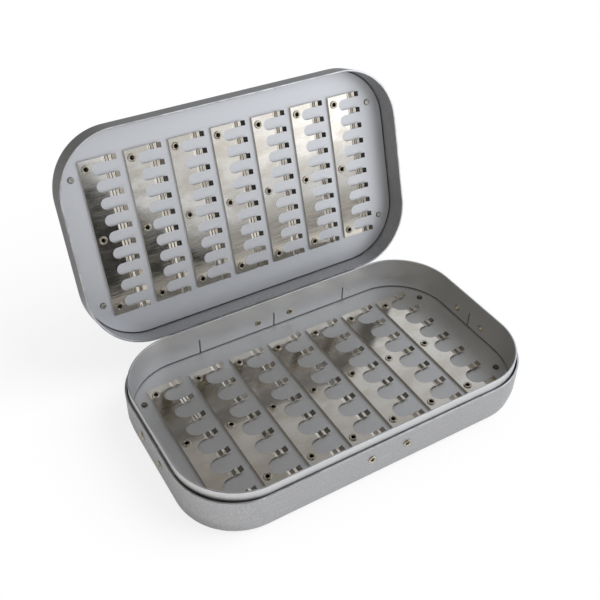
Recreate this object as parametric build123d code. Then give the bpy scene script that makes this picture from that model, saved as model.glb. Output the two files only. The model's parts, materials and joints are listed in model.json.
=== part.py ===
from build123d import *
import os
from math import cos, radians, sin, tan

# A flat metal fly box, open, in millimetres: +X runs along the hinge, +Y points from the
# front edge to the hinge, +Z is up, and the origin is the centre of the underside.

# ---- driving dimensions: case ----
case_length = 152.4  # outside, along the hinge
case_width = 88.9  # outside, front to back
corner_radius = 25.4  # outside, seen from above
pan_sheet = 0.8  # metal of both pans
rim_rounding = 0.25  # rounding of every bare sheet edge that a hand meets
base_height = 17.6  # underside to the rim of the base pan
lid_height = 13.8  # rim of the lid pan to its outer face
rim_gap = 0.3  # between the two rims when the box is shut
base_band = 6.1  # height of the drawn-in band at the foot of the base pan
lid_band = 3.7  # the same band on the lid pan
band_taper = 10.0  # degrees that the bands lean in
edge_radius = 2.2  # outer radius where a band turns into the flat
overcut = 1.0  # how far a cutter runs past what it cuts

# ---- liner band of the base, which stands up as the lip that the lid shuts over ----
liner_sheet = 0.7
liner_gap = 0.25  # to the pan wall, along the straight sides
liner_corner_ease = 1.0  # how much blunter its corners are than the pan's
lip_height = 4.1  # above the rim of the base pan
liner_lift = 0.15  # gap between its lower edge and the floor plate
slit_width = 0.6
slit_height = 7.4  # above the floor plate
slit_spacing = 35.8  # between the three slits of a long side

# ---- plates that carry the clips ----
plate_sheet = 0.8
base_plate_seat = 0.35  # top face above the band of the base pan
lid_plate_seat = 0.4  # the same in the lid
base_plate_gap = 0.2  # edge of the floor plate to the pan wall
lid_plate_gap = 0.25
plate_rounding = 0.3  # rolled edge of the lid plate
stud_end_inset = 8.1  # studs from the outside of the end walls
stud_side_inset = 17.95  # studs from the outside of the long walls
stud_shoulder_radius = 2.0
stud_shank_radius = 1.0
stud_head_radius = 1.3
stud_head_height = 0.55
stud_head_rounding = 0.44

# ---- clip strips ----
strip_count = 7
strip_end_space = 12.36  # outside of the end walls to the row of strips, before its shift
strip_gap = 3.43  # between neighbouring strips
strip_sheet = 0.4
strip_lift = 0.5  # underside of the spine above its plate
spine_width = 5.1  # back edge to the root of the slots
wave_runs = (1.1, 1.3, 1.2, 1.9)  # across, to the dip, the crest, the second dip and the tip
wave_dip = 0.03  # underside of the finger above the plate, where it presses on a hook
wave_crest = 1.0  # the same under the crest
wave_second_dip = 0.25
tip_rise = 1.1  # underside of the turned-up tip
bend_radius = 0.7
strip_corner_radius = 0.2
base_finger_count = 7
base_finger_width = 2.6
base_strip_side_space = 11.47  # outside of the long walls to the ends of the strips
base_strip_shift = (-1.0, -0.5)  # middle of the row of strips from the middle of the box
lid_finger_count = 10
lid_finger_width = 2.2
lid_strip_side_space = 12.075
lid_strip_shift = (-0.55, -0.3)

# ---- hollow eyelets ----
eyelet_bore_radius = 0.85
eyelet_wall = 0.3
eyelet_head_flange = 0.55  # rolled out past the barrel
eyelet_head_height = 0.45
eyelet_head_rounding = 0.27
eyelet_tail_flange = 0.35
eyelet_tail_height = 0.4
eyelet_tail_rounding = 0.24
fixing_clearance = 0.02  # radial, of every eyelet and stud in its hole
strip_eyelet_inset = 2.6  # from the back edge of a strip
strip_eyelet_side_space = 15.45  # outside of the long walls to the outer eyelets of a strip
wall_eyelet_drop = 0.2  # heads below the foot of the hinge leaf
wall_eyelet_spacing = 15.9

# ---- hinge ----
hinge_end_space = 5.8  # ends of the knuckles to where the corners start
knuckle_count = 9
knuckle_wall = 0.5
knuckle_gap = 0.25  # endways, between neighbouring knuckles
knuckle_clearance = 0.25  # of the knuckles behind the back walls
pin_radius = 0.75
pin_clearance = 0.05  # radial
hinge_drop = 1.5  # pin axis below the rim of the base pan
leaf_sheet = 0.6
leaf_reach = 3.0  # base leaf below the pin axis, lid leaf above its own rim
leaf_clearance = 0.3  # of a leaf round the other leaf's knuckles
ear_sheet = 0.8
ear_reach = 5.2  # how far the stop ears stand out behind the pin axis
stop_gap = 0.05
open_angle = 108.0  # from shut to the stop

# ---- levels and places worked out from the dimensions ----
half_length = case_length / 2
half_width = case_width / 2
lid_rim_level = base_height + rim_gap
shut_height = lid_rim_level + lid_height
liner_inset = pan_sheet + liner_gap

base_plate_level = base_band + base_plate_seat
lid_plate_level = shut_height - lid_band - lid_plate_seat

strip_pitch = (case_length - 2 * strip_end_space + strip_gap) / strip_count
strip_width = strip_pitch - strip_gap
strip_top = strip_lift + strip_sheet
strip_eyelet_span = case_width - 2 * strip_eyelet_side_space

eyelet_barrel_radius = eyelet_bore_radius + eyelet_wall
eyelet_head_radius = eyelet_barrel_radius + eyelet_head_flange
eyelet_tail_radius = eyelet_barrel_radius + eyelet_tail_flange
barrel_hole = eyelet_barrel_radius + fixing_clearance

knuckle_radius = pin_radius + pin_clearance + knuckle_wall
hinge_length = case_length - 2 * (corner_radius + hinge_end_space)
knuckle_pitch = hinge_length / knuckle_count
knuckle_half = (knuckle_pitch - knuckle_gap) / 2
hinge_offset = knuckle_radius + knuckle_clearance
hinge_y = half_width + hinge_offset
hinge_z = base_height - hinge_drop
wall_eyelet_level = hinge_z - leaf_reach - wall_eyelet_drop - eyelet_head_radius

os.makedirs("parts", exist_ok=True)


def write(name, shape):
    """Write one node, whose solids are labelled with the node's name."""
    shape.label = name
    export_step(shape, f"parts/{name}.step")


def outline(inset, extra_radius=0.0):
    """Plan outline of the case, drawn in by inset, with its corners eased by extra_radius."""
    radius = corner_radius - inset + extra_radius
    return RectangleRounded(case_length - 2 * inset, case_width - 2 * inset, radius)


def drill(radius, depth):
    """Cutter along Z that reaches past depth on both sides of z = 0."""
    return Cylinder(radius, 2 * (depth + overcut))


def open_lid(shape):
    """Turn a piece that is modelled on the shut lid to where the open lid carries it."""
    return Pos(0, hinge_y, hinge_z) * Rot(-open_angle, 0, 0) * Pos(0, -hinge_y, -hinge_z) * shape


# ---- pans ----
def pan_block(height, band, inset, floor, radius):
    """Solid body of a pan with its flat on z = floor, drawn in by inset on every side."""
    crease = band + inset * tan(radians(band_taper) / 2)
    face = Pos(0, 0, crease) * outline(inset)
    block = extrude(face, height - crease) + extrude(face, floor - crease, taper=band_taper)
    return fillet(block.edges().group_by(Axis.Z)[0], radius)


def drawn_pan(height, band):
    """A pan that opens upwards, drawn from one sheet, with its rim edges rounded."""
    hollow = pan_block(height + overcut, band, pan_sheet, pan_sheet, edge_radius - pan_sheet)
    pan = pan_block(height, band, 0, 0, edge_radius) - hollow
    return fillet(pan.edges().group_by(Axis.Z)[-1], rim_rounding)


def wall_places():
    """Where the wall eyelets go through: outward turned places on the outer face of each side."""
    sides = {
        "front": Plane((0, -half_width, wall_eyelet_level), (1, 0, 0), (0, -1, 0)),
        "back": Plane((0, half_width, wall_eyelet_level), (-1, 0, 0), (0, 1, 0)),
        "left": Plane((-half_length, 0, wall_eyelet_level), (0, -1, 0), (-1, 0, 0)),
        "right": Plane((half_length, 0, wall_eyelet_level), (0, 1, 0), (1, 0, 0)),
    }
    offsets = (-wall_eyelet_spacing / 2, wall_eyelet_spacing / 2)
    return {
        side: [plane.location * Pos(offset, 0, 0) for offset in offsets]
        for side, plane in sides.items()
    }


def wall_holes():
    """Cutters for the wall eyelets, through the pan and the liner."""
    cutter = drill(barrel_hole, liner_inset + liner_sheet)
    return [place * cutter for places in wall_places().values() for place in places]


base_pan = drawn_pan(base_height, base_band) - wall_holes()
write("base_pan", base_pan)

lid_pan = Pos(0, 0, shut_height) * Rot(180, 0, 0) * drawn_pan(lid_height, lid_band)
write("lid_pan", open_lid(lid_pan))


# ---- liner ----
def liner_band():
    """Band of sheet bent round inside the base pan, with slits up from its lower edge."""
    foot = base_plate_level + liner_lift
    top = base_height + lip_height
    outside = outline(liner_inset, liner_corner_ease)
    inside = outline(liner_inset + liner_sheet, liner_corner_ease)
    band = Pos(0, 0, foot) * extrude(outside - inside, top - foot)
    band = fillet(band.edges().group_by(Axis.Z)[-1], rim_rounding)
    slit_top = base_plate_level + slit_height
    slit_foot = foot - overcut
    middle = (slit_top + slit_foot) / 2
    long_slit = Pos(0, 0, middle) * Box(slit_width, case_width, slit_top - slit_foot)
    end_slit = Pos(0, 0, middle) * Box(case_length, slit_width, slit_top - slit_foot)
    slits = [Pos(step * slit_spacing, 0, 0) * long_slit for step in (-1, 0, 1)]
    return band - slits - end_slit - wall_holes()


write("base_liner", liner_band())


# ---- strips and what holds them ----
def strip_places(shift):
    """Back edges of the strips, left to right, with the row centred and then shifted."""
    row = (strip_count - 1) * strip_pitch + strip_width
    start = -row / 2 + shift[0]
    return [(start + index * strip_pitch, shift[1]) for index in range(strip_count)]


def eyelet_places():
    """The three eyelets of a strip, from the middle of its back edge."""
    half_span = strip_eyelet_span / 2
    return [(strip_eyelet_inset, along) for along in (-half_span, 0, half_span)]


def finger_path(drop):
    """Upper face of a strip across its width, lowered by drop."""
    rise = strip_sheet - drop
    to_dip, to_crest, to_second_dip, to_tip = wave_runs
    dip_x = strip_width - to_tip - to_second_dip - to_crest
    points = [
        (0, strip_lift + rise),
        (dip_x - to_dip, strip_lift + rise),
        (dip_x, wave_dip + rise),
        (dip_x + to_crest, wave_crest + rise),
        (dip_x + to_crest + to_second_dip, wave_second_dip + rise),
        (strip_width, tip_rise + rise),
    ]
    return FilletPolyline(*points, radius=bend_radius)


def clip_strip(side_space, finger_count, finger_width):
    """Comb of waved spring fingers on one spine, its back edge along Y at x = 0, plate at z = 0."""
    length = case_width - 2 * side_space
    finger_pitch = (length - finger_width) / (finger_count - 1)
    upper = finger_path(0)
    lower = finger_path(strip_sheet)
    section = make_face([upper, Line(upper @ 1, lower @ 1), lower, Line(lower @ 0, upper @ 0)])
    strip = extrude(Plane.XZ * section, length / 2, both=True)
    strip += Pos(strip_sheet / 2, 0, strip_lift / 2) * Box(strip_sheet, length, strip_lift)
    slot_radius = (finger_pitch - finger_width) / 2
    slot_depth = strip_width - spine_width
    slot = Pos(slot_radius, 0) * Circle(slot_radius)
    slot += Pos(slot_radius + slot_depth / 2, 0) * Rectangle(slot_depth, 2 * slot_radius)
    cutter = extrude(slot, strip_top + tip_rise + overcut, both=True)
    middle = (finger_count - 2) / 2
    slots = [
        Pos(spine_width, (index - middle) * finger_pitch, 0) * cutter
        for index in range(finger_count - 1)
    ]
    hole = drill(barrel_hole, strip_top)
    holes = [Pos(across, along, 0) * hole for across, along in eyelet_places()]
    strip = strip - slots - holes
    corners = strip.edges().filter_by(Axis.Z).group_by(Axis.X)
    return fillet(corners[-1] + corners[0], strip_corner_radius)


def ring_section(inner, outer, low, high):
    """Rectangle in the XZ plane that a turn about Z makes into a ring."""
    return Pos((inner + outer) / 2, (low + high) / 2) * Rectangle(outer - inner, high - low)


def eyelet(grip, collar=0.0):
    """Hollow eyelet along Z: rolled head on z = 0, barrel down through grip, tail rolled below.

    A collar of that length below the strip keeps it off its plate."""
    bore = eyelet_bore_radius
    head = ring_section(bore, eyelet_head_radius, 0, eyelet_head_height)
    head = fillet(head.vertices().group_by(Axis.Y)[-1], eyelet_head_rounding)
    tail = ring_section(bore, eyelet_tail_radius, -grip - eyelet_tail_height, -grip)
    tail = fillet(tail.vertices().group_by(Axis.Y)[0], eyelet_tail_rounding)
    section = head + tail + ring_section(bore, eyelet_barrel_radius, -grip, 0)
    if collar:
        section += ring_section(bore, eyelet_tail_radius, -strip_sheet - collar, -strip_sheet)
    return revolve(Plane.XZ * section, Axis.Z)


def plate_stud(length):
    """Stud whose shoulder stands length high on z = 0, with its shank peened over the plate."""
    shoulder = Pos(0, 0, length / 2) * Cylinder(stud_shoulder_radius, length)
    shank = Pos(0, 0, length + plate_sheet / 2) * Cylinder(stud_shank_radius, plate_sheet)
    head_middle = length + plate_sheet + stud_head_height / 2
    head = Pos(0, 0, head_middle) * Cylinder(stud_head_radius, stud_head_height)
    head = fillet(head.edges().group_by(Axis.Z)[-1], stud_head_rounding)
    return shoulder + shank + head


def stud_places():
    """The four corners where the plates are held."""
    half_x = half_length - stud_end_inset
    half_y = half_width - stud_side_inset
    return [(x, y) for x in (-half_x, half_x) for y in (-half_y, half_y)]


def clip_plate(gap, places):
    """Flat plate that fills a pan inside a gap, its lower face on z = 0, drilled for its fixings."""
    plate = extrude(outline(pan_sheet + gap), plate_sheet)
    hole = drill(barrel_hole, plate_sheet)
    stud_hole = drill(stud_shank_radius + fixing_clearance, plate_sheet)
    holes = [
        Pos(x + across, y + along, 0) * hole for x, y in places for across, along in eyelet_places()
    ]
    return plate - holes - [Pos(x, y, 0) * stud_hole for x, y in stud_places()]


strip_eyelet = eyelet(strip_top + plate_sheet, strip_lift)

# ---- base: plate, studs, strips ----
base_places = strip_places(base_strip_shift)
base_plate_foot = base_plate_level - plate_sheet
write("base_floor_plate", Pos(0, 0, base_plate_foot) * clip_plate(base_plate_gap, base_places))
base_stud = plate_stud(base_plate_foot - pan_sheet)
base_studs = [Pos(x, y, pan_sheet) * base_stud for x, y in stud_places()]
write("base_plate_studs", Compound(children=base_studs))

base_strip = clip_strip(base_strip_side_space, base_finger_count, base_finger_width)
for number, (x, y) in enumerate(base_places, start=1):
    write(f"base_clip_strip_{number}", Pos(x, y, base_plate_level) * base_strip)
    eyelets = [
        Pos(x + across, y + along, base_plate_level + strip_top) * strip_eyelet
        for across, along in eyelet_places()
    ]
    write(f"base_strip_eyelets_{number}", Compound(children=eyelets))

# ---- lid: plate, studs, strips, all modelled shut and then opened ----
lid_places = strip_places(lid_strip_shift)
lid_places_turned = [(x, -y) for x, y in lid_places]
face_down = Pos(0, 0, lid_plate_level) * Rot(180, 0, 0)
lid_plate = clip_plate(lid_plate_gap, lid_places_turned)
lid_plate = fillet(lid_plate.faces().sort_by(Axis.Z)[-1].outer_wire().edges(), plate_rounding)
write("lid_plate", open_lid(face_down * Pos(0, 0, -plate_sheet) * lid_plate))
stud_seat = shut_height - pan_sheet
lid_stud = plate_stud(stud_seat - lid_plate_level - plate_sheet)
lid_studs = [
    open_lid(Pos(x, y, stud_seat) * Rot(180, 0, 0) * lid_stud) for x, y in stud_places()
]
write("lid_plate_studs", Compound(children=lid_studs))

lid_strip = clip_strip(lid_strip_side_space, lid_finger_count, lid_finger_width)
for number, (x, y) in enumerate(lid_places_turned, start=1):
    write(f"lid_clip_strip_{number}", open_lid(face_down * Pos(x, y, 0) * lid_strip))
    eyelets = [
        open_lid(face_down * Pos(x + across, y + along, strip_top) * strip_eyelet)
        for across, along in eyelet_places()
    ]
    write(f"lid_strip_eyelets_{number}", Compound(children=eyelets))

# ---- wall eyelets, through the pan and the liner ----
wall_eyelet = eyelet(pan_sheet + liner_gap + liner_sheet)
for side, places in wall_places().items():
    write(f"wall_eyelets_{side}", Compound(children=[place * wall_eyelet for place in places]))


# ---- hinge ----
def knuckles(first):
    """Every second knuckle from first, as tubes round the pin axis, with their middles on X."""
    tube = Cylinder(knuckle_radius, 2 * knuckle_half)
    middle = (knuckle_count - 1) / 2
    places = [(index - middle) * knuckle_pitch for index in range(first, knuckle_count, 2)]
    return [Pos(x, hinge_y, hinge_z) * Rot(0, 90, 0) * tube for x in places], places


def slab(low, high):
    """Box between two corners."""
    size = [top - bottom for bottom, top in zip(low, high)]
    middle = [(top + bottom) / 2 for bottom, top in zip(low, high)]
    return Pos(*middle) * Box(*size)


pin_place = Pos(0, hinge_y, hinge_z) * Rot(0, 90, 0)
pin_bore = pin_place * drill(pin_radius + pin_clearance, hinge_length / 2)


def stop_ear():
    """End of the base leaf, folded out square, whose slanting edge meets the back of the open lid."""
    lean = radians(open_angle)
    corner_y = -hinge_offset * cos(lean) + (hinge_drop + rim_gap) * sin(lean)
    corner_z = hinge_offset * sin(lean) + (hinge_drop + rim_gap) * cos(lean)
    slope = cos(lean) / sin(lean)
    lid_line = [(y, corner_z + (y - corner_y) * slope - stop_gap) for y in (corner_y, ear_reach)]
    points = [
        (-hinge_offset, -leaf_reach),
        (-hinge_offset, 0),
        *lid_line,
        (ear_reach, lid_line[1][1] - ear_sheet),
        (0, -leaf_reach),
    ]
    face = Plane.YZ * make_face(Polyline(*points, close=True))
    return Pos(0, hinge_y, hinge_z) * extrude(face, ear_sheet)


def base_leaf():
    """Leaf on the outside of the base pan's back wall, with its knuckles and the two stop ears."""
    tubes, places = knuckles(0)
    half = hinge_length / 2
    strap_top = hinge_z - knuckle_radius - leaf_clearance
    back = half_width + leaf_sheet
    leaf = slab((-half, half_width, hinge_z - leaf_reach), (half, back, strap_top))
    for x, tube in zip(places, tubes):
        low = (x - knuckle_half, half_width, hinge_z - leaf_reach)
        leaf += slab(low, (x + knuckle_half, back, hinge_z)) + tube
    ear_start = half + leaf_clearance
    strap_foot = hinge_z - leaf_reach
    for end in (-ear_start - ear_sheet, ear_start):
        leaf += Pos(end, 0, 0) * stop_ear()
    leaf += slab((-ear_start, half_width, strap_foot), (ear_start, back, strap_top))
    return leaf - pin_bore


def lid_leaf():
    """Leaf on the outside of the shut lid's back wall, joggled down to its own knuckles."""
    tubes, places = knuckles(1)
    half = hinge_length / 2
    back = half_width + leaf_sheet
    foot = lid_rim_level + rim_rounding
    leaf = slab((-half, half_width, foot), (half, back, lid_rim_level + leaf_reach))
    joggle_front = hinge_y - knuckle_radius
    for x, tube in zip(places, tubes):
        low = (x - knuckle_half, joggle_front, hinge_z)
        high = (x + knuckle_half, joggle_front + leaf_sheet, foot + leaf_sheet)
        leaf += slab(low, high) + tube
    return leaf - pin_bore


write("base_hinge_leaf", base_leaf())
write("lid_hinge_leaf", open_lid(lid_leaf()))
write("hinge_pin", pin_place * Cylinder(pin_radius, hinge_length))
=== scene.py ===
import bpy
import json
from math import cos, radians, sin
from mathutils import Matrix, Vector

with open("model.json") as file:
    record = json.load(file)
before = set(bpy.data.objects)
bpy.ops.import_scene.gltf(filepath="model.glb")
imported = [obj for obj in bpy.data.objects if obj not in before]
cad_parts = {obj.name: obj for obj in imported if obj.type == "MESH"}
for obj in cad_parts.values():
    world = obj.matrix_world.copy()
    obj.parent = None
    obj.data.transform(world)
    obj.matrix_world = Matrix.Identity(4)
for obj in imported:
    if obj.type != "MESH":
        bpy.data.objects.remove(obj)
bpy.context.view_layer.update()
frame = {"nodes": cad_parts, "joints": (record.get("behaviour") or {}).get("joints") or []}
nodes = frame["nodes"]


# ---- camera ----
# The photograph's view, from the front left and above. The place, the directions and the focal length
# come from fitting the known points of the box, and the photograph is 600 px square on a 36 mm sensor.
camera_place = Vector((-0.13786, -0.20079, 0.25291))
camera_right = Vector((0.85803, -0.51322, 0.01968))
camera_down = Vector((-0.31443, -0.55520, -0.76999))
photo_pixels = 600
focal_pixels = 843.1

camera_data = bpy.data.cameras.new("camera")
camera_data.sensor_width = 36.0
camera_data.lens = camera_data.sensor_width * focal_pixels / photo_pixels
camera_data.clip_start = 0.01
camera = bpy.data.objects.new("camera", camera_data)
bpy.context.scene.collection.objects.link(camera)
backward = camera_right.cross(-camera_down)
camera.matrix_world = Matrix.Translation(camera_place) @ Matrix(
    (camera_right, -camera_down, backward)
).transposed().to_4x4()
bpy.context.scene.camera = camera
bpy.context.scene.view_settings.view_transform = "Standard"


# ---- table ----
# A sheet of matt white paper, far larger than the box. To the camera it is white by itself for the most
# part, so that it keeps only a faint shadow of the box. In the metal it is nearly all lit paper.
table_size = 6.0
table_colour = (0.9, 0.9, 0.9, 1.0)
white_to_camera = 0.75  # share of the paper that is white without any light
white_in_metal = 0.1
paper_glow = 1.03  # of that white, so that the lit paper comes out at about 1


def put(tree, kind, inputs=None, **settings):
    """Add a shader node. Settings are its own options, inputs its sockets, as values or as links."""
    node = tree.nodes.new("ShaderNode" + kind)
    for name, value in settings.items():
        setattr(node, name, value)
    for name, value in (inputs or {}).items():
        if isinstance(value, bpy.types.NodeSocket):
            tree.links.new(value, node.inputs[name])
        else:
            node.inputs[name].default_value = value
    return node


def shown_ray(tree, to_camera=1.0, in_metal=1.0):
    """How much of the white background a ray shows: the camera's, and one in metal or through glass."""
    ray = put(tree, "LightPath").outputs
    inside = put(tree, "Math", {0: ray["Is Glossy Ray"], 1: ray["Is Transmission Ray"]}, operation="MAXIMUM")
    inside = put(tree, "Math", {0: inside.outputs[0], 1: in_metal}, operation="MULTIPLY")
    direct = put(tree, "Math", {0: ray["Is Camera Ray"], 1: to_camera}, operation="MULTIPLY")
    seen = {0: direct.outputs[0], 1: inside.outputs[0]}
    return put(tree, "Math", seen, operation="MAXIMUM").outputs[0]


def sheet_of(name, corners, material):
    """A flat stage piece between the corners, that isn't part of the box."""
    mesh = bpy.data.meshes.new(name)
    mesh.from_pydata(corners, [], [range(len(corners))])
    mesh.materials.append(material)
    sheet = bpy.data.objects.new(name, mesh)
    bpy.context.scene.collection.objects.link(sheet)
    return sheet


def empty_material(name):
    """A new material without any shader node."""
    material = bpy.data.materials.new(name)
    material.use_nodes = True
    material.node_tree.nodes.clear()
    return material, material.node_tree


paper, tree = empty_material("table_paper")
matt = put(tree, "BsdfDiffuse", {"Color": table_colour})
glow = put(tree, "Emission", {"Strength": paper_glow})
white = shown_ray(tree, white_to_camera, white_in_metal)
both = put(tree, "MixShader", {0: white, 1: matt.outputs[0], 2: glow.outputs[0]})
put(tree, "OutputMaterial", {"Surface": both.outputs[0]})
half = table_size / 2
sheet_of("table", [(-half, -half, 0), (half, -half, 0), (half, half, 0), (-half, half, 0)], paper)


# ---- light ----
# A soft white room, a soft key lamp high on the right and a panel in front on the right light the table.
# Only the metal shows a tent that is dark overhead and dimmer on the left, a wider sheet in the panel's
# place, three dark screens, and grey cloths on the table before and behind the box.
room_level = 0.6  # of the light that the room throws on matt things
key_power = 1.6
key_softness = 45.0  # degrees across
key_from = (68.0, 50.0)  # degrees: from the front round to the right, and up
panel_width = 1.0
panel_colour = (0.97, 1.0, 1.05)
panel_height = 0.8
panel_power = 2.5
panel_place = Vector((0.76, -0.65, 0.42))
panel_aim = Vector((0.0, 0.03, 0.05))
panel_level = 1.75  # of its middle, as the metal shows it
panel_side_level = 0.75  # where it fades into the tent
panel_reach = (-0.72, 0.56)  # of the mirrored panel, to the left and the right of its middle
panel_foot = 0.06  # cut off its lower edge in the metal
panel_fade = (-0.66, -0.22, 0.0, 0.56)  # rises between the first two, and falls between the last two
tent_radius = 2.0
tent_bright = (0.80, 0.84, 0.91)
tent_dim = (0.46, 0.44, 0.41)
tent_overhead = (0.095, 0.09, 0.08)
tent_bright_side = 70.0  # degrees from the front round to the right
tent_side_ease = (-0.6, 0.6)  # of the cosine to the bright side, from all dim to all bright
tent_height_ease = (0.60, 0.94)  # of the sine of the height, from the sides to overhead
tent_rings = 16
tent_sides = 48
screen_level = 0.03
screen_corners = ((0.27, -0.8, 0.0), (0.12, -0.8, 0.18), (-0.45, -0.8, 0.30), (-0.6, -0.8, 0.0))
high_screen_level = 0.06
high_screen_corners = ((-1.4, 1.0, 0.45), (0.12, 1.0, 0.45), (0.12, 1.0, 1.9), (-1.4, 1.0, 1.9))
back_screen_level = 0.16
back_screen_corners = ((-1.2, 1.5, 0.0), (1.1, 1.5, 0.0), (1.1, 1.5, 0.42), (-1.2, 1.5, 0.42))
cloth_level = 0.3
cloth_dark_level = 0.03
cloth_dark_end = (0.31, 0.42)  # X over Y, where its dark part on the left gives over to the grey
cloth_corners = ((-0.7, -0.36, 0.001), (-0.7, -1.9, 0.001), (1.2, -1.9, 0.001), (1.2, -0.36, 0.001))
back_cloth_level = 0.46
back_cloth_dark_level = 0.28
back_cloth_dark_end = (-0.5, 0.5)
back_cloth_corners = ((-1.2, 0.10, 0.001), (1.0, 0.10, 0.001), (1.0, 1.9, 0.001), (-1.2, 1.9, 0.001))

world = bpy.data.worlds.new("room")
bpy.context.scene.world = world
world.use_nodes = True
tree = world.node_tree
level = put(tree, "MapRange", {"Value": shown_ray(tree), "To Min": room_level})
room = tree.nodes["Background"]
room.inputs["Color"].default_value = (1.0, 1.0, 1.0, 1.0)
tree.links.new(level.outputs["Result"], room.inputs["Strength"])

panel_data = bpy.data.lights.new("panel", "AREA")
panel_data.shape = "RECTANGLE"
panel_data.size = panel_width
panel_data.size_y = panel_height
panel_data.energy = panel_power
panel_data.color = panel_colour
panel = bpy.data.objects.new("panel", panel_data)
bpy.context.scene.collection.objects.link(panel)
panel.location = panel_place
panel.rotation_euler = (panel_aim - panel_place).to_track_quat("-Z", "Y").to_euler()
panel.visible_glossy = False

key_data = bpy.data.lights.new("key", "SUN")
key_data.energy = key_power
key_data.angle = radians(key_softness)
key = bpy.data.objects.new("key", key_data)
bpy.context.scene.collection.objects.link(key)
around, up = (radians(angle) for angle in key_from)
key_direction = Vector((sin(around) * cos(up), -cos(around) * cos(up), sin(up)))
key.rotation_euler = key_direction.to_track_quat("Z", "Y").to_euler()
key.visible_glossy = False


def ease(tree, value, low, high, to_low=0.0, to_high=1.0):
    """A smooth step of value, from to_low at low to to_high at high."""
    ends = {"From Min": low, "From Max": high, "To Min": to_low, "To Max": to_high}
    return put(
        tree, "MapRange", {"Value": value, **ends}, interpolation_type="SMOOTHSTEP"
    ).outputs["Result"]


def mixed(tree, share, first, second):
    """The first colour where share is 0 and the second where it is 1."""
    node = put(tree, "Mix", {0: share}, data_type="RGBA")
    for index, colour in ((6, first), (7, second)):
        if isinstance(colour, bpy.types.NodeSocket):
            tree.links.new(colour, node.inputs[index])
        else:
            node.inputs[index].default_value = (*colour, 1.0)
    return node.outputs[2]


def only_in_metal(piece):
    """A tent piece is seen in the metal alone: not by the camera, nor as light or shadow on the table."""
    piece.visible_camera = False
    piece.visible_diffuse = False
    piece.visible_shadow = False


tent_cloth, tree = empty_material("tent_cloth")
place = put(tree, "TexCoord").outputs["Object"]
toward = put(tree, "VectorMath", {0: place}, operation="NORMALIZE").outputs[0]
side = radians(tent_bright_side)
bright_side = (sin(side), -cos(side), 0.0)
to_side = put(tree, "VectorMath", {0: toward, 1: bright_side}, operation="DOT_PRODUCT").outputs["Value"]
height = put(tree, "SeparateXYZ", {0: toward}).outputs["Z"]
around = mixed(tree, ease(tree, to_side, *tent_side_ease), tent_dim, tent_bright)
cloth = mixed(tree, ease(tree, height, *tent_height_ease), around, tent_overhead)
glow = put(tree, "Emission", {"Color": cloth})
put(tree, "OutputMaterial", {"Surface": glow.outputs[0]})

tent_points = [
    (
        tent_radius * cos(radians(90 * ring / tent_rings)) * cos(radians(360 * side / tent_sides)),
        tent_radius * cos(radians(90 * ring / tent_rings)) * sin(radians(360 * side / tent_sides)),
        tent_radius * sin(radians(90 * ring / tent_rings)),
    )
    for ring in range(tent_rings)
    for side in range(tent_sides)
]
tent_top_point = len(tent_points)
tent_points.append((0.0, 0.0, tent_radius))
tent_faces = []
for ring in range(tent_rings):
    for side in range(tent_sides):
        near = ring * tent_sides + side
        beside = ring * tent_sides + (side + 1) % tent_sides
        if ring == tent_rings - 1:
            tent_faces.append((near, beside, tent_top_point))
        else:
            tent_faces.append((near, beside, beside + tent_sides, near + tent_sides))
tent_mesh = bpy.data.meshes.new("tent")
tent_mesh.from_pydata(tent_points, [], tent_faces)
tent_mesh.materials.append(tent_cloth)
tent = bpy.data.objects.new("tent", tent_mesh)
bpy.context.scene.collection.objects.link(tent)
only_in_metal(tent)

panel_cloth, tree = empty_material("panel_cloth")
toward_box = (panel_aim - panel_place).normalized()
panel_across = toward_box.cross(Vector((0.0, 0.0, 1.0))).normalized()
panel_up = panel_across.cross(toward_box)
place = put(tree, "TexCoord").outputs["Object"]
offset = put(tree, "VectorMath", {0: place, 1: panel_place}, operation="SUBTRACT").outputs[0]
offset = put(tree, "VectorMath", {0: offset, 1: panel_across}, operation="DOT_PRODUCT").outputs["Value"]
rise = ease(tree, offset, *panel_fade[:2], panel_side_level, panel_level)
fall = ease(tree, offset, *panel_fade[2:], 0.0, panel_side_level - panel_level)
strength = put(tree, "Math", {0: rise, 1: fall}, operation="ADD").outputs[0]
glow = put(tree, "Emission", {"Color": (*panel_colour, 1.0), "Strength": strength})
put(tree, "OutputMaterial", {"Surface": glow.outputs[0]})
left, right = panel_reach
foot, head = panel_foot - panel_height / 2, panel_height / 2
panel_corners = [
    panel_place + reach * panel_across + level * panel_up
    for reach, level in ((left, foot), (right, foot), (right, head), (left, head))
]
only_in_metal(sheet_of("panel_cloth", panel_corners, panel_cloth))


def screen(name, corners, level):
    """A screen of one even grey that the metal mirrors."""
    material, tree = empty_material(name)
    glow = put(tree, "Emission", {"Strength": level})
    put(tree, "OutputMaterial", {"Surface": glow.outputs[0]})
    only_in_metal(sheet_of(name, corners, material))


screen("screen", screen_corners, screen_level)
screen("high_screen", high_screen_corners, high_screen_level)
screen("back_screen", back_screen_corners, back_screen_level)


def grey_cloth(name, corners, dark_end, dark_level, level):
    """A cloth on the table that the metal mirrors, darker on the left. The ends are of X over Y."""
    material, tree = empty_material(name)
    place = put(tree, "SeparateXYZ", {0: put(tree, "TexCoord").outputs["Object"]}).outputs
    away = put(tree, "Math", {0: place["Y"]}, operation="ABSOLUTE").outputs[0]
    across = put(tree, "Math", {0: place["X"], 1: away}, operation="DIVIDE").outputs[0]
    glow = put(tree, "Emission", {"Strength": ease(tree, across, *dark_end, dark_level, level)})
    put(tree, "OutputMaterial", {"Surface": glow.outputs[0]})
    only_in_metal(sheet_of(name, corners, material))


grey_cloth("front_cloth", cloth_corners, cloth_dark_end, cloth_dark_level, cloth_level)
grey_cloth(
    "back_cloth", back_cloth_corners, back_cloth_dark_end, back_cloth_dark_level, back_cloth_level
)


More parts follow.
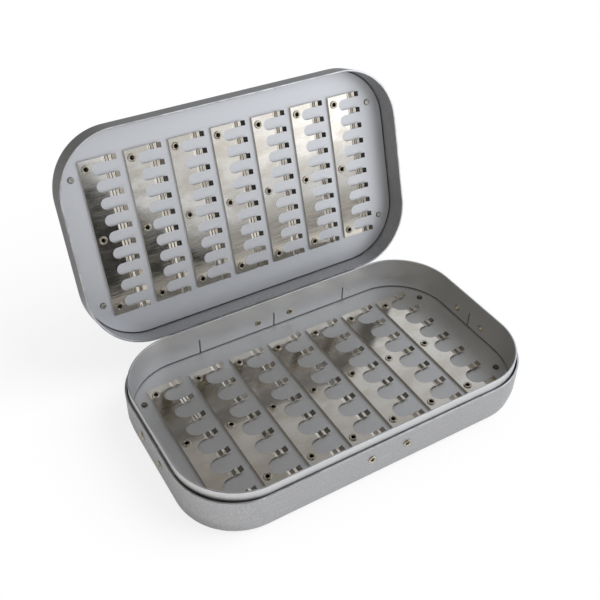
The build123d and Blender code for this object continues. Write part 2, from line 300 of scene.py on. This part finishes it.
# ---- pans ----
# The base and the lid are each drawn from one aluminium sheet, blasted fine and anodised a plain satin
# grey. The film is worn through to brighter metal along the rims and on the bends at the flat.
pan_colour = (0.40, 0.40, 0.405)
pan_bare_colour = (0.80, 0.80, 0.81)
pan_roughness = 0.46
# painted shade in the crease at the liner's foot
foot_shade_colour = (0.035, 0.034, 0.033)
cloud_size = 0.030
grain_size = 0.0005
grain_share = 0.28  # of the worn colour in the brightest grains
grain_depth = 0.000011
scuff_strength = 0.3
hinge_place = Vector(frame["joints"][0]["pos_m"])
open_angle = radians(frame["joints"][0]["range_deg"][1])


def own_place(tree, body):
    """Place on a piece of that body, in metres, as it lies with the box shut. Z counts up from the pin."""
    place = put(tree, "TexCoord").outputs["Object"]
    turn = (0.0, 0.0, 0.0) if body == "base" else (-open_angle, 0.0, 0.0)
    undo = {"Vector": place, "Location": hinge_place, "Rotation": turn}
    return put(tree, "Mapping", undo, vector_type="TEXTURE").outputs[0]


def noise(tree, place, size, detail=2.0, stretch=(1.0, 1.0, 1.0), turn=0.0):
    """Noise whose spots are about size across, in metres, drawn out by stretch after a turn about Z."""
    scale = [1.0 / part for part in stretch]
    laid = put(tree, "Mapping", {"Vector": place, "Rotation": (0.0, 0.0, turn), "Scale": scale})
    wanted = {"Vector": laid.outputs[0], "Scale": 1.0 / size, "Detail": detail}
    return put(tree, "TexNoise", wanted).outputs[0]


def added(tree, *values):
    """The sum of the values."""
    total = values[0]
    for value in values[1:]:
        total = put(tree, "Math", {0: total, 1: value}, operation="ADD").outputs[0]
    return total


def times(tree, first, second):
    """The product of two values."""
    return put(tree, "Math", {0: first, 1: second}, operation="MULTIPLY").outputs[0]


def bare_metal(name):
    """A new material whose shader is plain metal."""
    material = bpy.data.materials.new(name)
    material.use_nodes = True
    shader = material.node_tree.nodes["Principled BSDF"]
    shader.inputs["Metallic"].default_value = 1.0
    return material, material.node_tree, shader


def relief(tree, shader, height, depth):
    """Bump of that depth, in metres, where height runs from 0 to 1."""
    made = put(tree, "Bump", {"Height": height, "Distance": depth, "Strength": 1.0})
    tree.links.new(made.outputs[0], shader.inputs["Normal"])


def satin(name, body, colour, worn_colour, roughness, worn=None, painted_shade=None):
    """Blasted and anodised sheet: clouded film, fine grain, stray scuffs, wear where worn says, and painted
    shade where the last argument says.
    """
    material, tree, shader = bare_metal(name)
    place = own_place(tree, body)
    cloud = noise(tree, place, cloud_size, 3.0)
    grain = noise(tree, place, grain_size, 2.0)
    scuff_one = noise(tree, place, 0.0006, 1.0, (24.0, 1.0, 1.0), 0.5)
    scuff_two = noise(tree, place, 0.0005, 1.0, (18.0, 1.0, 1.0), -0.9)
    scuffs = added(tree, ease(tree, scuff_one, 0.70, 0.78), ease(tree, scuff_two, 0.71, 0.79))
    tone = mixed(tree, ease(tree, cloud, 0.3, 0.7), [0.985 * part for part in colour], colour)
    tone = mixed(tree, ease(tree, grain, 0.35, 0.65, 0.0, grain_share), tone, worn_colour)
    tone = mixed(tree, times(tree, scuffs, scuff_strength), tone, worn_colour)
    rough = added(
        tree,
        ease(tree, cloud, 0.3, 0.7, roughness - 0.012, roughness + 0.012),
        ease(tree, grain, 0.2, 0.8, -0.03, 0.03),
    )
    if worn:
        patchy = ease(tree, noise(tree, place, 0.004, 3.0), 0.3, 0.7, 0.4, 1.0)
        wear = times(tree, worn(tree, place), patchy)
        tone = mixed(tree, wear, tone, worn_colour)
        rough = added(tree, rough, times(tree, wear, -0.10))
    if painted_shade:
        tone = mixed(tree, painted_shade(tree, place), tone, foot_shade_colour)
    tree.links.new(tone, shader.inputs["Base Color"])
    tree.links.new(rough, shader.inputs["Roughness"])
    relief(tree, shader, added(tree, grain, times(tree, scuffs, -0.4)), grain_depth)
    return material


def dress(names, material):
    for name in names:
        mesh = nodes[name].data
        mesh.materials.clear()
        mesh.materials.append(material)


def levels(node_name, body):
    """Lowest and highest Z of a node with the box shut, counted from the pin."""
    turn = Matrix.Rotation(0.0 if body == "base" else open_angle, 3, "X")
    heights = [(turn @ (v.co - hinge_place)).z for v in nodes[node_name].data.vertices]
    return min(heights), max(heights)


rim_wear = 0.0003
bend_wear = (0.0001, 0.0005, 0.0009, 0.0016)  # above the flat: starts, is full, starts to end, ends


def worn_edges(rim, flat):
    """Wear at a rim, and half as much on the bend where the wall turns into the flat."""

    def worn(tree, place):
        height = put(tree, "SeparateXYZ", {0: place}).outputs["Z"]
        inward = 1.0 if rim > flat else -1.0
        at_rim = ease(tree, height, rim - inward * rim_wear, rim)
        above_flat = times(tree, added(tree, height, -flat), inward)
        on_bend = times(
            tree,
            ease(tree, above_flat, bend_wear[0], bend_wear[1], 0.0, 0.5),
            ease(tree, above_flat, bend_wear[2], bend_wear[3], 1.0, 0.0),
        )
        return added(tree, at_rim, on_bend)

    return worn


for body in ("base", "lid"):
    pan = f"{body}_pan"
    low, high = levels(pan, body)
    wear = worn_edges(high, low) if body == "base" else worn_edges(low, high)
    finish = satin(f"{body}_pan_satin", body, pan_colour, pan_bare_colour, pan_roughness, wear)
    dress([pan], finish)


# ---- liner ----
# A band of thinner aluminium, bent round inside the base pan and standing up above its rim as the lip.
# The lid rubs its top edge bright each time the box is shut.
liner_colour = (0.68, 0.68, 0.68)
liner_roughness = 0.42
liner_low, liner_high = levels("base_liner", "base")
# height of the painted shade above the liner's foot
liner_foot_shade_reach = 0.0004


def liner_wear(tree, place):
    """Wear along its top edge."""
    height = put(tree, "SeparateXYZ", {0: place}).outputs["Z"]
    return ease(tree, height, liner_high - 2 * rim_wear, liner_high)


def liner_foot_shade(tree, place):
    """Painted shade along its foot, where it meets the floor plate."""
    height = put(tree, "SeparateXYZ", {0: place}).outputs["Z"]
    return ease(tree, height, liner_low + 0.6 * liner_foot_shade_reach, liner_low + liner_foot_shade_reach, 0.85, 0.0)


finish = satin(
    "liner_satin", "base", liner_colour, pan_bare_colour, liner_roughness, liner_wear, liner_foot_shade
)
dress(["base_liner"], finish)


# ---- plates ----
# The sheets that carry the clips, cut from aluminium with a paler and more matt anodised face than the
# pans. Each is held at its corners by studs, and the edge of the lid's plate is rolled over.
plate_colours = {"base": (0.76, 0.755, 0.745), "lid": (0.76, 0.765, 0.78)}
plate_worn_colour = (0.84, 0.84, 0.85)
plate_roughness = 0.54
for body, plate in (("base", "base_floor_plate"), ("lid", "lid_plate")):
    dress([plate], satin(f"{plate}_satin", body, plate_colours[body], plate_worn_colour, plate_roughness))


# ---- clip strips ----
# Combs of thin spring steel, nickel plated and bright. The rolling marks run with the fingers, and the
# plating is hazed and rubbed in patches by hooks.
nickel_colour = (0.76, 0.72, 0.65)
nickel_dull_colour = (0.62, 0.57, 0.49)
nickel_relief = 0.000002


def nickel(name, body):
    """Bright plated strip with rolling streaks along the fingers and hazy patches."""
    material, tree, shader = bare_metal(name)
    place = own_place(tree, body)
    streaks = noise(tree, place, 0.00035, 3.0, (28.0, 1.0, 1.0))
    haze = noise(tree, place, 0.007, 4.0, (1.6, 1.0, 1.0))
    grain = noise(tree, place, 0.0003, 1.0)
    tone = mixed(tree, ease(tree, haze, 0.35, 0.7), nickel_colour, nickel_dull_colour)
    tone = mixed(tree, ease(tree, grain, 0.35, 0.65, 0.0, 0.5), tone, nickel_dull_colour)
    rough = added(
        tree,
        ease(tree, haze, 0.3, 0.7, 0.06, 0.13),
        ease(tree, streaks, 0.3, 0.7, -0.02, 0.04),
    )
    tree.links.new(tone, shader.inputs["Base Color"])
    tree.links.new(rough, shader.inputs["Roughness"])
    relief(tree, shader, added(tree, streaks, times(tree, grain, 0.5)), nickel_relief)
    return material


for body in ("base", "lid"):
    strips = [name for name in nodes if name.startswith(f"{body}_clip_strip")]
    dress(strips, nickel(f"{body}_nickel", body))


# ---- eyelets ----
# Hollow brass eyelets with a thin nickel plating, rolled over at both ends. The plating is rubbed
# through to the brass in patches, and old dirt has stained it.
eyelet_colour = (0.64, 0.60, 0.52)
eyelet_brass_colour = (0.58, 0.50, 0.37)
eyelet_soil_colour = (0.13, 0.11, 0.08)
eyelet_relief = 0.00001
material, tree, shader = bare_metal("eyelet_metal")
place = own_place(tree, "base")
patch = noise(tree, place, 0.0012, 3.0)
soil = noise(tree, place, 0.0008, 3.0)
tone = mixed(tree, ease(tree, patch, 0.42, 0.62), eyelet_colour, eyelet_brass_colour)
tone = mixed(tree, ease(tree, soil, 0.48, 0.66, 0.0, 0.75), tone, eyelet_soil_colour)
tree.links.new(tone, shader.inputs["Base Color"])
tree.links.new(ease(tree, patch, 0.3, 0.7, 0.18, 0.34), shader.inputs["Roughness"])
relief(tree, shader, patch, eyelet_relief)
dress([name for name in nodes if "eyelets" in name], material)


# ---- studs ----
# Aluminium studs under the corners of the plates, with their shanks peened over by hand. Painted shade
# lies round their feet, and those of the base are painted darker, as painted shade.
# the lid's tone is the studs' own colour; the base's is darker, as painted shade
stud_tones_and_shade = {"base": (0.27, 0.24, 0.19), "lid": (0.62, 0.59, 0.52)}
stud_foot_shade_colour = (0.05, 0.045, 0.035)
stud_crown = 0.00022  # depth of the crown, above the painted shade at the foot
stud_relief = 0.00006


def peened(name, body, colour, crown_levels):
    """Hammered crown, with painted shade round its foot, which lies at the first of the levels."""
    material, tree, shader = bare_metal(name)
    place = own_place(tree, body)
    dent = noise(tree, place, 0.0009, 2.0)
    height = put(tree, "SeparateXYZ", {0: place}).outputs["Z"]
    above_shade = ease(tree, height, *crown_levels)
    tone = mixed(tree, ease(tree, dent, 0.3, 0.7), [0.6 * part for part in colour], colour)
    tone = mixed(tree, above_shade, stud_foot_shade_colour, tone)
    tree.links.new(tone, shader.inputs["Base Color"])
    tree.links.new(ease(tree, dent, 0.3, 0.7, 0.26, 0.42), shader.inputs["Roughness"])
    relief(tree, shader, dent, stud_relief)
    return material


for body in ("base", "lid"):
    for stud_node in [name for name in nodes if name.startswith(body) and "studs" in name]:
        low, high = levels(stud_node, body)
        crown = (high - stud_crown, high) if body == "base" else (low + stud_crown, low)
        dress([stud_node], peened(f"{body}_stud_metal", body, stud_tones_and_shade[body], crown))


# ---- hinge ----
# Two leaves of aluminium strip, with their knuckles rolled round one turned steel pin. The leaves are
# blasted and anodised like the pans, and the base's has two folded ears that stop the open lid.
leaf_colour = (0.46, 0.46, 0.465)
leaf_roughness = 0.36
pin_colour = (0.56, 0.55, 0.53, 1.0)
for body in ("base", "lid"):
    finish = satin(f"{body}_leaf_satin", body, leaf_colour, pan_bare_colour, leaf_roughness)
    dress([f"{body}_hinge_leaf"], finish)

material, tree, shader = bare_metal("pin_steel")
place = own_place(tree, "base")
turned = noise(tree, place, 0.0002, 2.0, (1.0, 40.0, 40.0))
shader.inputs["Base Color"].default_value = pin_colour
tree.links.new(ease(tree, turned, 0.3, 0.7, 0.2, 0.34), shader.inputs["Roughness"])
dress(["hinge_pin"], material)
